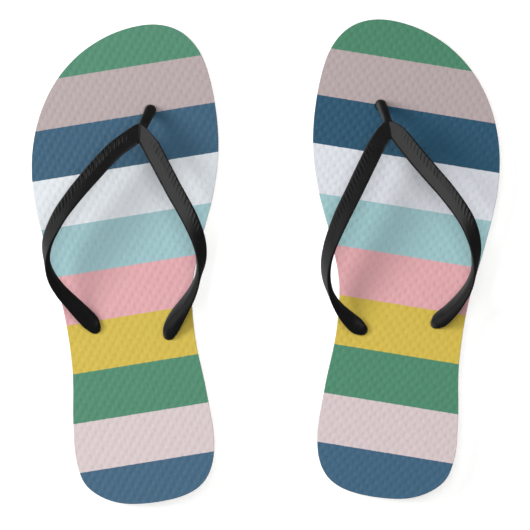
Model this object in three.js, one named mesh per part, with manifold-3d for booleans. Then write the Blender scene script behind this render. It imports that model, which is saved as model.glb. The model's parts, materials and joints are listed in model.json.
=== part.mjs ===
// A pair of thong sandals (flip flops), left and right, standing side by side
// on the floor. Units are millimetres, +Z is up, +Y runs from heel to toe and
// +X runs from the left sandal to the right one. The origin is on the floor,
// at the centre of the pair.
//
// Each sandal has a footbed, a midsole, an outsole and one Y-shaped strap,
// whose three stems run through the sole and end in flat plugs, seated in
// pockets under the outsole. The three sole layers are cut across the ball of
// the foot, so that the heel half can turn up about the flex line.
//
// Both sandals are drawn in the left one's own frame: u is positive towards
// the big toe side, v towards the toes, and (0, 0) is the middle of the sole.
// The right sandal is then mirrored.

import * as THREE from 'three';
import { mergeVertices } from 'three/addons/utils/BufferGeometryUtils.js';
import Module from 'manifold-3d';

const wasm = await Module();
wasm.setup();

// ---------------------------------------------------------------- dimensions

// Sole
const SOLE_TOP_MID = 16.0;       // height of the footbed's face at v = 0
const SOLE_RISE = 2.5;           // rise at the heel tip, and fall at the toe tip
const SOLE_HALF_LENGTH = 130.0;
const FOOTBED_THICKNESS = 3.6;
const OUTSOLE_THICKNESS = 5.0;
const LAYER_GAP = 0.3;           // room for the cement between two layers
const OUTLINE_SEGMENTS = 112;
const FLEX_V = 45.0;             // flex line across the ball of the foot
const FLEX_CUT = 0.3;            // width of the cut along it

// Strap holes, [u, v], and the pockets for the plugs under the outsole
const TOE_HOLE = [18.0, 83.1];
const OUTER_HOLE = [-31.3, -30.3];
const INNER_HOLE = [8.3, -40.3];
const HOLES = [TOE_HOLE, OUTER_HOLE, INNER_HOLE];
const HOLE_RADIUS = 3.3;
const HOLE_SEGMENTS = 28;
const POCKET_RADIUS = 8.6;
const POCKET_DEPTH = 3.7;
const POCKET_SEGMENTS = 40;

// Strap stems and plugs
const STEM_RADIUS = 2.85;
const STEM_DIAMETER = 2 * STEM_RADIUS;
const PLUG_RADIUS = 8.0;
const PLUG_BOTTOM = 0.4;         // the plug sits a little above the floor
const PLUG_THICKNESS = 2.9;
const PLUG_LOWER_BEVEL = 0.7;
const PLUG_UPPER_BEVEL = { width: 0.8, height: 0.9 };
const PLUG_SEGMENTS = 24;

// Strap sections
const SECTION_POINTS = 12;       // corners round the section
const STATIONS_PER_ROW = 2;      // sections between two rows of a path
const MIN_LEVEL_SHARE = 0.45;    // a steeper path keeps its last heading

// Trimming of the strap's arms at the yoke, where they meet
const YOKE_REAR_V = 30;          // the arms are trimmed on the toe side of this
const YOKE_JOIN_OVERLAP = 0.002; // between an arm's trimmed and untrimmed parts
const RIDGE_OVERLAP = 0.005;     // how far each arm passes the ridge line

// Placement of the two sandals on the floor
const PLACE_X = 67.7;
const PLACE_Y = 1.4;
const PAIR_CENTRE_Y = 0.3;       // middle of the pair's box before it is centred
const TOE_OUT_DEG = 9.25;        // the toes lean outwards by this angle

// Cutters only have to reach past the piece they cut.
const HOLE_CUTTER_Z = [-2, 30];
const HALF_CUTTER = { u: 80, v: 150, low: -5, high: 40 };
const ARM_CUTTER = { u: 120, v: 120, low: -20, high: 90 };
const PRISM_CUTTER = { low: -10, depth: 120 };
const RIDGE_CUTTER = { along: 60, across: 100 };
const SHOULDER_CUTTER = { runOut: 90, corner: 150 };

const FINISHES = {
  footbed: { color: 0xb9c6ca, roughness: 0.78 },
  midsole: { color: 0xf2f1ee, roughness: 0.85 },
  outsole: { color: 0xeeece8, roughness: 0.8 },
  strap: { color: 0x1d1d1e, roughness: 0.42 },
};

// Outline of the sole, [u, v], anticlockwise from the outer waist.
const OUTLINE = [
  [-46.9, -19.0], [-47.4, -51.4], [-51.6, -80.0], [-53.2, -100.0], [-50.6, -113.6],
  [-43.7, -121.6], [-31.8, -127.7], [-11.8, -130.0], [4.5, -128.2], [13.4, -123.8],
  [19.4, -116.2], [23.4, -102.0], [23.6, -73.8], [22.3, -44.0], [25.0, -17.0],
  [33.2, 6.0], [45.0, 33.0], [52.0, 59.0], [53.4, 90.0], [50.2, 109.6],
  [43.6, 120.9], [34.8, 127.2], [22.9, 130.0], [4.2, 128.1], [-14.4, 120.6],
  [-29.8, 108.4], [-42.0, 91.4], [-50.1, 70.1], [-53.0, 46.5], [-50.9, 15.9],
];

// ---------------------------------------------------------------- strap paths

// Each row of a path is
// [u, v, height of the centre line over the footbed, width, thickness,
//  tilt of the face away from flat in degrees, section squareness].
const stemRow = ([u, v], height, tilt) => [u, v, height, STEM_DIAMETER, STEM_DIAMETER, tilt, 2];

const TOE_STEM = [-14.0, -6.0, 0.2].map((height) => stemRow(TOE_HOLE, height, 0));

// Foot of an arm: a neck a little off the hole's centre, then the round stem.
const armStem = ([u, v], [neckU, neckV]) => [
  [u + neckU, v + neckV, 2.4, 7.2, 4.2, 176, 2.4],
  ...[-0.6, -6.0, -14.5].map((height) => stemRow([u, v], height, 180)),
];

// The strap is soft, so the left and the right one lie a little differently.
// ridge: line where the two arms meet, [u, v], from the toe side to the heel side
// shoulder: rounded toe-side edge of the yoke, [u, v], towards the big toe side
// post: path up from the toe hole; outer and inner: paths from the yoke to the holes
const STRAPS = {
  left: {
    ridge: [[11.7, 78.5], [8.5, 64]],
    shoulder: [[3.4, 74.4], [7.9, 76.2], [11.3, 76.8], [13.4, 74.8], [14.7, 73.1], [17.8, 68.2]],
    post: [
      ...TOE_STEM,
      [17.6, 82.4, 5.3, 6.1, 6.4, 0, 2.2],
      [16.1, 79.8, 12.6, 5.8, 6.2, 0, 2.3],
      [14.3, 77.0, 19.0, 5.4, 5.8, 0, 2.4],
      [12.6, 74.2, 24.4, 5.2, 5.0, 0, 2.4],
      [11.0, 71.0, 27.4, 5.2, 3.4, 0, 2.4],
    ],
    outer: [
      [15.0, 73.5, 27.2, 10.6, 3.6, 24, 3.4],
      [6.0, 69.4, 29.8, 11.1, 3.6, 26, 3.4],
      [-3.6, 64.5, 32.4, 11.1, 3.6, 26, 3.4],
      [-11.2, 59.1, 34.6, 11.1, 3.6, 26, 3.4],
      [-18.1, 53.5, 36.2, 11.1, 3.6, 27, 3.4],
      [-25.2, 47.5, 37.3, 11.1, 3.6, 30, 3.4],
      [-32.1, 41.2, 37.8, 11.1, 3.6, 36, 3.4],
      [-38.6, 34.7, 38.0, 11.1, 3.6, 40, 3.4],
      [-44.2, 27.5, 36.8, 11.1, 3.6, 48, 3.4],
      [-48.8, 19.8, 34.7, 11.1, 3.6, 60, 3.4],
      [-50.9, 11.1, 31.1, 10.9, 3.6, 86, 3.4],
      [-49.8, 2.2, 25.1, 10.7, 3.6, 112, 3.4],
      [-46.1, -6.3, 18.3, 10.7, 3.6, 125, 3.3],
      [-41.0, -14.2, 12.3, 10.7, 3.6, 136, 3.2],
      [-35.9, -21.7, 7.6, 10.7, 3.6, 148, 3],
      [-32.6, -27.0, 4.3, 10.0, 3.6, 160, 2.8],
      ...armStem(OUTER_HOLE, [0, 0.2]),
    ],
    inner: [
      [6.8, 81.0, 26.6, 10.0, 3.6, 22, 3.4],
      [10.4, 74.0, 28.3, 10.5, 3.6, 23, 3.4],
      [13.4, 67.6, 29.8, 11.0, 3.6, 24, 3.4],
      [15.9, 60.1, 31.8, 11.0, 3.6, 25, 3.4],
      [18.6, 52.2, 33.5, 11.0, 3.6, 26, 3.4],
      [21.2, 44.3, 34.1, 11.0, 3.6, 27, 3.4],
      [23.9, 36.3, 34.1, 11.0, 3.6, 28, 3.4],
      [26.8, 28.4, 33.8, 11.0, 3.6, 30, 3.4],
      [29.5, 20.3, 33.4, 11.0, 3.6, 33, 3.4],
      [31.5, 12.1, 32.1, 11.0, 3.6, 40, 3.4],
      [32.5, 3.8, 30.0, 11.0, 3.6, 52, 3.4],
      [31.7, -4.4, 26.6, 10.8, 3.6, 68, 3.4],
      [28.8, -12.1, 22.6, 10.8, 3.6, 94, 3.4],
      [24.2, -19.2, 17.9, 10.8, 3.6, 114, 3.3],
      [18.6, -25.7, 12.4, 10.8, 3.6, 130, 3.2],
      [13.4, -31.6, 7.6, 10.4, 3.6, 146, 3],
      [10.0, -36.6, 4.3, 9.4, 3.6, 162, 2.8],
      ...armStem(INNER_HOLE, [0, 0.2]),
    ],
  },
  right: {
    ridge: [[13.3, 78.5], [9.3, 63]],
    shoulder: [
      [-2.2, 68.1], [1.2, 70.8], [4.6, 73.1], [7.8, 74.4],
      [10.8, 75.4], [15.1, 73.9], [18.1, 69.6], [20.4, 64.7],
    ],
    post: [
      ...TOE_STEM,
      [17.5, 82.5, 5.3, 5.6, 6.2, 0, 2.2],
      [16.1, 80.0, 12.6, 5.1, 6.0, 0, 2.3],
      [14.4, 77.0, 19.0, 4.7, 5.6, 0, 2.4],
      [12.9, 74.2, 24.4, 4.6, 5.0, 0, 2.4],
      [11.4, 71.0, 27.4, 4.8, 3.4, 0, 2.4],
    ],
    outer: [
      [14.7, 76.3, 27.0, 10.6, 3.6, 24, 3.4],
      [7.0, 69.1, 29.6, 11.0, 3.6, 26, 3.4],
      [-1.2, 61.4, 31.9, 11.4, 3.6, 26, 3.4],
      [-8.9, 54.7, 33.7, 11.4, 3.6, 26, 3.4],
      [-16.1, 48.6, 35.0, 11.4, 3.6, 27, 3.4],
      [-23.5, 42.4, 35.9, 11.4, 3.6, 29, 3.4],
      [-30.6, 35.7, 36.4, 11.4, 3.6, 34, 3.4],
      [-37.1, 28.6, 36.1, 11.4, 3.6, 36, 3.4],
      [-42.1, 20.7, 35.0, 11.4, 3.6, 46, 3.4],
      [-45.6, 12.0, 32.5, 11.1, 3.6, 60, 3.4],
      [-46.7, 2.6, 27.0, 10.8, 3.6, 86, 3.4],
      [-45.2, -6.8, 20.1, 10.8, 3.6, 108, 3.3],
      [-41.2, -15.6, 13.3, 10.8, 3.6, 124, 3.2],
      [-36.2, -23.6, 7.9, 10.4, 3.6, 140, 3],
      [-32.6, -28.2, 4.6, 9.6, 3.6, 158, 2.8],
      ...armStem(OUTER_HOLE, [0, -0.1]),
    ],
    inner: [
      [8.4, 81.0, 26.6, 10.0, 3.6, 22, 3.4],
      [11.6, 73.7, 28.3, 10.5, 3.6, 23, 3.4],
      [14.4, 66.4, 29.8, 10.9, 3.6, 24, 3.4],
      [16.9, 59.8, 31.8, 10.9, 3.6, 25, 3.4],
      [19.4, 51.5, 33.4, 10.9, 3.6, 26, 3.4],
      [21.9, 43.2, 33.8, 10.9, 3.6, 26, 3.4],
      [24.3, 34.9, 33.7, 10.9, 3.6, 27, 3.4],
      [26.8, 26.6, 33.5, 10.9, 3.6, 28, 3.4],
      [29.2, 18.3, 33.0, 10.9, 3.6, 32, 3.4],
      [31.2, 9.8, 31.7, 10.9, 3.6, 40, 3.4],
      [32.8, 1.2, 29.6, 10.9, 3.6, 50, 3.4],
      [33.3, -7.6, 26.3, 10.8, 3.6, 61, 3.4],
      [31.9, -16.0, 22.1, 10.8, 3.6, 74, 3.4],
      [28.3, -23.7, 16.7, 10.8, 3.6, 92, 3.3],
      [22.6, -30.2, 11.4, 10.8, 3.6, 114, 3.2],
      [15.7, -35.7, 6.9, 10.4, 3.6, 140, 3],
      [11.2, -38.8, 4.4, 9.4, 3.6, 162, 2.8],
      ...armStem(INNER_HOLE, [0.3, 0]),
    ],
  },
};

// ------------------------------------------------------------------- helpers

function toSolid(geometry) {
  // Seams only close once normals and texture coordinates are gone.
  geometry.deleteAttribute('normal');
  geometry.deleteAttribute('uv');
  const merged = mergeVertices(geometry, 1e-4);
  return new wasm.Manifold(new wasm.Mesh({
    numProp: 3,
    vertProperties: new Float32Array(merged.attributes.position.array),
    triVerts: new Uint32Array(merged.index.array),
  }));
}

function toGeometry(solid) {
  const mesh = solid.getMesh();
  const geometry = new THREE.BufferGeometry();
  const positions = new Float32Array(mesh.vertProperties);
  geometry.setAttribute('position', new THREE.BufferAttribute(positions, 3));
  geometry.setIndex(new THREE.BufferAttribute(new Uint32Array(mesh.triVerts), 1));
  geometry.computeVertexNormals();
  return geometry;
}

// Mirror image across the sandal's own v-z plane.
function mirrored(geometry) {
  const mirror = geometry.clone().scale(-1, 1, 1);
  const index = mirror.index.array;
  for (let i = 0; i < index.length; i += 3) {
    [index[i + 1], index[i + 2]] = [index[i + 2], index[i + 1]];
  }
  mirror.computeVertexNormals();
  return mirror;
}

function cylinderSolid([u, v], radius, [low, high], segments) {
  const geometry = new THREE.CylinderGeometry(radius, radius, high - low, segments);
  geometry.rotateX(Math.PI / 2);
  geometry.translate(u, v, (low + high) / 2);
  return toSolid(geometry);
}

function boxSolid(min, max) {
  const geometry = new THREE.BoxGeometry(...max.map((value, k) => value - min[k]));
  geometry.translate(...max.map((value, k) => (min[k] + value) / 2));
  return toSolid(geometry);
}

// Upright prism over a plan outline, taller than the strap.
function prismCutter(points) {
  const { low, depth } = PRISM_CUTTER;
  const geometry = new THREE.ExtrudeGeometry(
    new THREE.Shape(points), { depth, bevelEnabled: false });
  geometry.translate(0, 0, low);
  return toSolid(geometry);
}

// ---------------------------------------------------------------- sole layers

const topAt = (v) => SOLE_TOP_MID - SOLE_RISE * v / SOLE_HALF_LENGTH;

const outlineCurve = new THREE.CatmullRomCurve3(
  OUTLINE.map(([u, v]) => new THREE.Vector3(u, v, 0)), true, 'centripetal');
const outlinePoints = outlineCurve.getSpacedPoints(OUTLINE_SEGMENTS).slice(0, -1);
const outlineShape = new THREE.Shape(outlinePoints.map(({ x, y }) => new THREE.Vector2(x, y)));

// A slab with the sole's outline; both functions give a height at v.
function slab(lowAt, highAt) {
  const geometry = new THREE.ExtrudeGeometry(outlineShape, { depth: 1, bevelEnabled: false });
  const position = geometry.attributes.position;
  for (let i = 0; i < position.count; i++) {
    const heightAt = position.getZ(i) < 0.5 ? lowAt : highAt;
    position.setZ(i, heightAt(position.getY(i)));
  }
  return toSolid(geometry);
}

function soleGeometries() {
  const footbedLow = (v) => topAt(v) - FOOTBED_THICKNESS;
  const layers = {
    footbed: slab(footbedLow, topAt),
    midsole: slab(() => OUTSOLE_THICKNESS + LAYER_GAP, (v) => footbedLow(v) - LAYER_GAP),
    outsole: slab(() => 0, () => OUTSOLE_THICKNESS),
  };
  const { u, v, low, high } = HALF_CUTTER;
  const toeHalf = boxSolid([-u, FLEX_V + FLEX_CUT / 2, low], [u, v, high]);
  const heelHalf = boxSolid([-u, -v, low], [u, FLEX_V - FLEX_CUT / 2, high]);
  const pocketSpan = [HOLE_CUTTER_Z[0], POCKET_DEPTH];
  const pieces = {};
  for (const [name, layer] of Object.entries(layers)) {
    let solid = layer;
    for (const hole of HOLES) {
      solid = solid.subtract(cylinderSolid(hole, HOLE_RADIUS, HOLE_CUTTER_Z, HOLE_SEGMENTS));
      if (name === 'outsole') {
        solid = solid.subtract(cylinderSolid(hole, POCKET_RADIUS, pocketSpan, POCKET_SEGMENTS));
      }
    }
    pieces[`${name}_toe_half`] = toGeometry(solid.intersect(toeHalf));
    pieces[`${name}_heel_half`] = toGeometry(solid.intersect(heelHalf));
  }
  return pieces;
}

// ---------------------------------------------------------------------- strap

// Superellipse section; across and face are the unit vectors of its width and thickness.
function sectionRing(centre, across, face, { width, thickness, squareness }) {
  const bulge = (value) => Math.sign(value) * Math.abs(value) ** (2 / squareness);
  return Array.from({ length: SECTION_POINTS }, (_, k) => {
    const angle = (k + 0.5) / SECTION_POINTS * Math.PI * 2;
    return centre.clone()
      .addScaledVector(across, bulge(Math.cos(angle)) * width / 2)
      .addScaledVector(face, bulge(Math.sin(angle)) * thickness / 2);
  });
}

// Closed solid through a row of rings, which turn anticlockwise about the path.
function skinSolid(rings) {
  const n = SECTION_POINTS;
  const last = (rings.length - 1) * n;
  const index = [];
  for (let start = 0; start < last; start += n) {
    for (let k = 0; k < n; k++) {
      const a = start + k;
      const b = start + (k + 1) % n;
      index.push(a, b, b + n, a, b + n, a + n);
    }
  }
  for (let k = 1; k < n - 1; k++) {
    index.push(0, k + 1, k);
    index.push(last, last + k, last + k + 1);
  }
  const geometry = new THREE.BufferGeometry().setFromPoints(rings.flat());
  geometry.setIndex(index);
  return toSolid(geometry);
}

// Solid swept along a path. On a path towards the heel, turn is +1 when the face
// turns towards +u as the tilt grows, and -1 when it turns towards -u.
function sweptSolid(rows, turn, fixedHeading = null) {
  const curve = new THREE.CatmullRomCurve3(
    rows.map(([u, v, height]) => new THREE.Vector3(u, v, topAt(v) + height)),
    false, 'centripetal');
  const spans = rows.length - 1;
  const count = spans * STATIONS_PER_ROW;
  const rings = [];
  let heading = fixedHeading;
  for (let i = 0; i <= count; i++) {
    const along = i / count;
    const tangent = curve.getTangent(along);
    const rowPlace = along * spans;
    const row = Math.min(Math.floor(rowPlace), spans - 1);
    const [, , , width, thickness, tiltDeg, squareness] = rows[row].map(
      (value, k) => value + (rows[row + 1][k] - value) * (rowPlace - row));
    const tilt = THREE.MathUtils.degToRad(tiltDeg);

    if (!fixedHeading && Math.hypot(tangent.x, tangent.y) > MIN_LEVEL_SHARE) {
      heading = new THREE.Vector3(tangent.x, tangent.y, 0).normalize();
    }
    const side = new THREE.Vector3(-heading.y, heading.x, 0);
    side.addScaledVector(tangent, -side.dot(tangent)).normalize();
    const up = new THREE.Vector3().crossVectors(tangent, side).normalize();
    const face = up.clone().multiplyScalar(Math.cos(tilt))
      .addScaledVector(side, turn * Math.sin(tilt));
    const across = side.clone().multiplyScalar(Math.cos(tilt))
      .addScaledVector(up, -turn * Math.sin(tilt));
    const section = { width, thickness, squareness };
    rings.push(sectionRing(curve.getPoint(along), across, face, section));
  }
  return skinSolid(rings);
}

// Flat round plug with bevelled edges at the foot of a stem.
function plugSolid([u, v]) {
  const top = PLUG_BOTTOM + PLUG_THICKNESS;
  const profile = [
    [0, PLUG_BOTTOM],
    [PLUG_RADIUS - PLUG_LOWER_BEVEL, PLUG_BOTTOM],
    [PLUG_RADIUS, PLUG_BOTTOM + PLUG_LOWER_BEVEL],
    [PLUG_RADIUS, top - PLUG_UPPER_BEVEL.height],
    [PLUG_RADIUS - PLUG_UPPER_BEVEL.width, top],
    [STEM_RADIUS, top],
    [0, top],
  ].map(([radius, z]) => new THREE.Vector2(radius, z));
  const geometry = new THREE.LatheGeometry(profile, PLUG_SEGMENTS);
  geometry.rotateX(Math.PI / 2);
  geometry.translate(u, v, 0);
  return toSolid(geometry);
}

// One side of the vertical plane through the ridge line: towards is the sign of u.
function ridgeHalf(start, direction, towards) {
  const normal = new THREE.Vector2(-direction.y, direction.x);
  if (Math.sign(normal.x) !== towards) normal.negate();
  const { along, across } = RIDGE_CUTTER;
  const corners = [
    [-along, -RIDGE_OVERLAP], [along, -RIDGE_OVERLAP], [along, across], [-along, across],
  ];
  return prismCutter(corners.map(([lengthwise, sideways]) => start.clone()
    .addScaledVector(direction, lengthwise).addScaledVector(normal, sideways)));
}

// Everything on the heel side of the yoke's shoulder.
function behindShoulder(shoulder) {
  const { runOut, corner } = SHOULDER_CUTTER;
  const points = shoulder.map(([u, v]) => new THREE.Vector2(u, v));
  const extend = (tip, neighbour) => tip.clone()
    .addScaledVector(tip.clone().sub(neighbour).normalize(), runOut);
  return prismCutter([
    extend(points[0], points[1]),
    new THREE.Vector2(-corner, -corner),
    new THREE.Vector2(corner, -corner),
    extend(points.at(-1), points.at(-2)),
    ...points.toReversed(),
  ]);
}

// Everything round an arm on the heel side of v = end.
function armRear(end) {
  const { u, v, low, high } = ARM_CUTTER;
  return boxSolid([-u, -v, low], [u, end, high]);
}

function strapGeometry({ ridge, shoulder, post, outer, inner }) {
  const [ridgeStart, ridgeEnd] = ridge.map(([u, v]) => new THREE.Vector2(u, v));
  const direction = ridgeEnd.clone().sub(ridgeStart).normalize();

  // Each arm stops at the ridge line, where the two faces meet like a roof.
  const trimmedArm = (path, towards) => {
    const arm = sweptSolid(path, towards);
    const yokePart = arm.subtract(armRear(YOKE_REAR_V))
      .intersect(ridgeHalf(ridgeStart, direction, towards))
      .intersect(behindShoulder(shoulder));
    return yokePart.add(arm.intersect(armRear(YOKE_REAR_V + YOKE_JOIN_OVERLAP)));
  };

  let strap = sweptSolid(post, 1, new THREE.Vector3(direction.x, direction.y, 0))
    .add(trimmedArm(outer, -1))
    .add(trimmedArm(inner, 1));
  for (const hole of HOLES) strap = strap.add(plugSolid(hole));
  return toGeometry(strap);
}

// ------------------------------------------------------------------- assembly

const solePieces = soleGeometries();

function sandal(side) {
  const group = new THREE.Group();
  const isLeft = side === 'left';
  const sign = isLeft ? 1 : -1;
  const pieces = { ...solePieces, strap: strapGeometry(STRAPS[side]) };
  for (const [name, geometry] of Object.entries(pieces)) {
    const finish = FINISHES[name.split('_')[0]];
    const material = new THREE.MeshStandardMaterial({ ...finish, metalness: 0 });
    const mesh = new THREE.Mesh(isLeft ? geometry : mirrored(geometry), material);
    mesh.name = `${side}_${name}`;
    group.add(mesh);
  }
  group.position.set(-sign * PLACE_X, -sign * PLACE_Y - PAIR_CENTRE_Y, 0);
  group.rotation.z = THREE.MathUtils.degToRad(sign * TOE_OUT_DEG);
  return group;
}

const flipFlops = new THREE.Group();
flipFlops.add(sandal('left'), sandal('right'));

export default flipFlops;
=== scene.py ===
"""A pair of thong sandals with striped footbeds, lying soles down on a pale floor.

Each sandal is built in its own local frame in millimetres: u towards the big-toe side,
v towards the toes, z up from the floor. "Outer" is the little-toe side, "inner" the big-toe
side. Each sandal's flex joint gives its place and turn in the world, which is in metres.
"""
import json
import math

import bmesh
import bpy
import numpy as np
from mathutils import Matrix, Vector, geometry, kdtree


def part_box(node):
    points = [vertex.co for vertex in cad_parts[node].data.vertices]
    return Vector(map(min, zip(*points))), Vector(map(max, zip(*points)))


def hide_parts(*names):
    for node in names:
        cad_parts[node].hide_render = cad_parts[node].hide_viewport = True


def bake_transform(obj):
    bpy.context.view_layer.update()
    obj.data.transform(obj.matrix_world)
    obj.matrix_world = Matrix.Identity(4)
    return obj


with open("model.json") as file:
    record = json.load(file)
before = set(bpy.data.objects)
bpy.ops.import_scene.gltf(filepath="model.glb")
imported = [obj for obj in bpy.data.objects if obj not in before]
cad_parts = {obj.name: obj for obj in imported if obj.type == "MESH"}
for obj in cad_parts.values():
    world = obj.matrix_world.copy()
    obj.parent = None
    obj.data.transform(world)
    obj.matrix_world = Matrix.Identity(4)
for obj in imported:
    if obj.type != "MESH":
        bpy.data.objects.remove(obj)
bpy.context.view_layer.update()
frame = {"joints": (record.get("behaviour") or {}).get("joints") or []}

SEED = 20741

# ------------------------------------------------------------------ the frame

FLEX_V = 45.0                            # local v of the flex joint
MIRROR = {"left": 1.0, "right": -1.0}    # sign of u


def find_placement(side):
    """Turn of a sandal and the world place of its local origin, in millimetres."""
    joint = next(j for j in frame["joints"] if j["name"] == f"{side}_ball_flex")
    turn = math.atan2(-joint["axis"][1], -joint["axis"][0])
    x, y = joint["pos_m"][0] * 1000.0, joint["pos_m"][1] * 1000.0
    return turn, x + math.sin(turn) * FLEX_V, y - math.cos(turn) * FLEX_V


PLACEMENT = {side: find_placement(side) for side in MIRROR}


def to_world(points, side):
    """Local millimetres to world metres."""
    turn, x0, y0 = PLACEMENT[side]
    points = np.asarray(points, float)
    x, y = MIRROR[side] * points[:, 0], points[:, 1]
    return np.column_stack([
        (x * math.cos(turn) - y * math.sin(turn) + x0) / 1000.0,
        (x * math.sin(turn) + y * math.cos(turn) + y0) / 1000.0,
        points[:, 2] / 1000.0])


# ------------------------------------------------------------- sole dimensions

HEEL_V = -130.0
CUT_V = FLEX_V + 0.15             # heel end of the solids' toe half
Z_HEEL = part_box("left_footbed_heel_half")[1].z * 1000.0
Z_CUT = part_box("left_footbed_toe_half")[1].z * 1000.0
Z_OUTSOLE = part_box("left_outsole_heel_half")[1].z * 1000.0
SHEET = 3.6                       # footbed thickness
SEAM = 0.15                       # half of the cement line's gap in the solids
LOWER_SEAM = Z_OUTSOLE + SEAM     # height between the outsole and the midsole

HOLE_R = 2.95
POCKET_R = 8.6                    # pocket round each hole, under the outsole
POCKET_DEPTH = 3.7
TOE_HOLE = (18.0, 83.1)
OUTER_HOLE = (-31.3, -30.3)
INNER_HOLE = (8.3, -40.3)
HOLES = [TOE_HOLE, OUTER_HOLE, INNER_HOLE]

# The sole's outline seen from above, (u, v), anticlockwise.
OUTLINE_POINTS = [
    [-46.9, -19.0], [-47.4, -51.4], [-51.6, -80.0], [-53.2, -100.0], [-50.6, -113.6],
    [-43.7, -121.6], [-31.8, -127.7], [-11.8, -130.0], [4.5, -128.2], [13.4, -123.8],
    [19.4, -116.2], [23.4, -102.0], [23.6, -73.8], [22.3, -44.0], [25.0, -17.0],
    [33.2, 6.0], [45.0, 33.0], [52.0, 59.0], [53.4, 90.0], [50.2, 109.6],
    [43.6, 120.9], [34.8, 127.2], [22.9, 130.0], [4.2, 128.1], [-14.4, 120.6],
    [-29.8, 108.4], [-42.0, 91.4], [-50.1, 70.1], [-53.0, 46.5], [-50.9, 15.9],
]
OUTLINE_COUNT = 560
HOLE_COUNT = 56


def top_at(v):
    """Height of the footbed's top, a straight slope through the solids' two heights."""
    return Z_CUT + (Z_HEEL - Z_CUT) * (CUT_V - v) / (CUT_V - HEEL_V)


def footbed_base(v):
    return top_at(v) - SHEET


def upper_seam(v):
    """Height between the midsole and the footbed."""
    return footbed_base(v) - SEAM


def above(height, rise):
    return lambda v: height(v) + rise


def level(z):
    return lambda v: np.full_like(v, z)


def midsole_height(share):
    """Height this share of the way up from the outsole to the footbed."""
    return lambda v: share * footbed_base(v) + (1 - share) * Z_OUTSOLE


# ---------------------------------------------------------------- plane curves


def catmull(points, per_span, closed):
    """Centripetal Catmull-Rom curve through the points, and its unit tangents."""
    p = np.asarray(points, float)
    count = len(p)
    spans = count if closed else count - 1
    curve, tangents = [], []
    for i in range(spans):
        p1, p2 = p[i], p[(i + 1) % count]
        p0 = p[(i - 1) % count] if closed or i > 0 else 2 * p1 - p2
        p3 = p[(i + 2) % count] if closed or i + 2 < count else 2 * p2 - p1
        d0, d1, d2 = (max(np.linalg.norm(b - a) ** 0.5, 1e-6)
                      for a, b in ((p0, p1), (p1, p2), (p2, p3)))
        t1 = ((p1 - p0) / d0 - (p2 - p0) / (d0 + d1) + (p2 - p1) / d1) * d1
        t2 = ((p2 - p1) / d1 - (p3 - p1) / (d1 + d2) + (p3 - p2) / d2) * d1
        samples = per_span + 1 if (not closed and i == spans - 1) else per_span
        s = (np.arange(samples) / per_span)[:, None]
        square = -3 * p1 + 3 * p2 - 2 * t1 - t2
        cube = 2 * p1 - 2 * p2 + t1 + t2
        curve.append(p1 + t1 * s + square * s ** 2 + cube * s ** 3)
        tangents.append(t1 + 2 * square * s + 3 * cube * s ** 2)
    curve, tangents = np.vstack(curve), np.vstack(tangents)
    return curve, tangents / np.linalg.norm(tangents, axis=1)[:, None]


def run_lengths(points):
    """Distance along a polyline to each of its points."""
    steps = np.linalg.norm(np.diff(points, axis=0), axis=1)
    return np.concatenate([[0], np.cumsum(steps)])


def resample_closed(points, count):
    loop = np.vstack([points, points[:1]])
    run = run_lengths(loop)
    stops = np.linspace(0, run[-1], count + 1)[:-1]
    return np.stack([np.interp(stops, run, loop[:, k]) for k in range(points.shape[1])], 1)


def outward_normals(loop):
    along = np.roll(loop, -1, 0) - np.roll(loop, 1, 0)
    along /= np.linalg.norm(along, axis=1)[:, None]
    return np.stack([along[:, 1], -along[:, 0]], 1)


OUTLINE = resample_closed(catmull(OUTLINE_POINTS, 60, True)[0], OUTLINE_COUNT)
OUTWARD = outward_normals(OUTLINE)


def inside(points, polygon):
    x, y = points[:, 0], points[:, 1]
    found = np.zeros(len(points), bool)
    x0, y0 = polygon[-1]
    for x1, y1 in polygon:
        level_with = (y0 > y) != (y1 > y)
        if level_with.any():
            crossing = (x1 - x0) * (y[level_with] - y0) / (y1 - y0) + x0
            found[level_with] ^= x[level_with] < crossing
        x0, y0 = x1, y1
    return found


def edge_distance(points, batch=4000):
    """Distance from each point to the nearest outline sample, in batches to save memory."""
    nearest = np.empty(len(points))
    for a in range(0, len(points), batch):
        part = points[a:a + batch]
        gaps = np.hypot(part[:, 0:1] - OUTLINE[None, :, 0], part[:, 1:2] - OUTLINE[None, :, 1])
        nearest[a:a + batch] = gaps.min(1)
    return nearest


def distance_to(hole, points):
    return np.hypot(points[:, 0] - hole[0], points[:, 1] - hole[1])


def lattice(pitch, inset, hole_radius):
    """Staggered grid of points inside the outline and outside the holes."""
    rows = []
    for r, y in enumerate(np.arange(-131.0, 131.0, pitch * 0.866)):
        x = np.arange(-55.0 + (pitch / 2 if r % 2 else 0.0), 55.0, pitch)
        rows.append(np.stack([x, np.full_like(x, y)], 1))
    points = np.vstack(rows)
    points = points[inside(points, OUTLINE)]
    points = points[edge_distance(points) > inset]
    for hole in HOLES:
        points = points[distance_to(hole, points) > hole_radius]
    return points


def circle(centre, radius, count):
    a = np.arange(count) / count * 2 * math.pi
    return np.stack([centre[0] + radius * np.cos(a), centre[1] + radius * np.sin(a)], 1)


def smoothstep(a, b, x):
    t = np.clip((x - a) / (b - a), 0, 1)
    return t * t * (3 - 2 * t)


# -------------------------------------------------------------- mesh building

# Tags of a slab's vertices. Wall rings count up from 0 and hole rings from HOLE_TAG.
TOP_TAG, HOLE_TAG, BOTTOM_TAG = -1, 100, 1000


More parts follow.
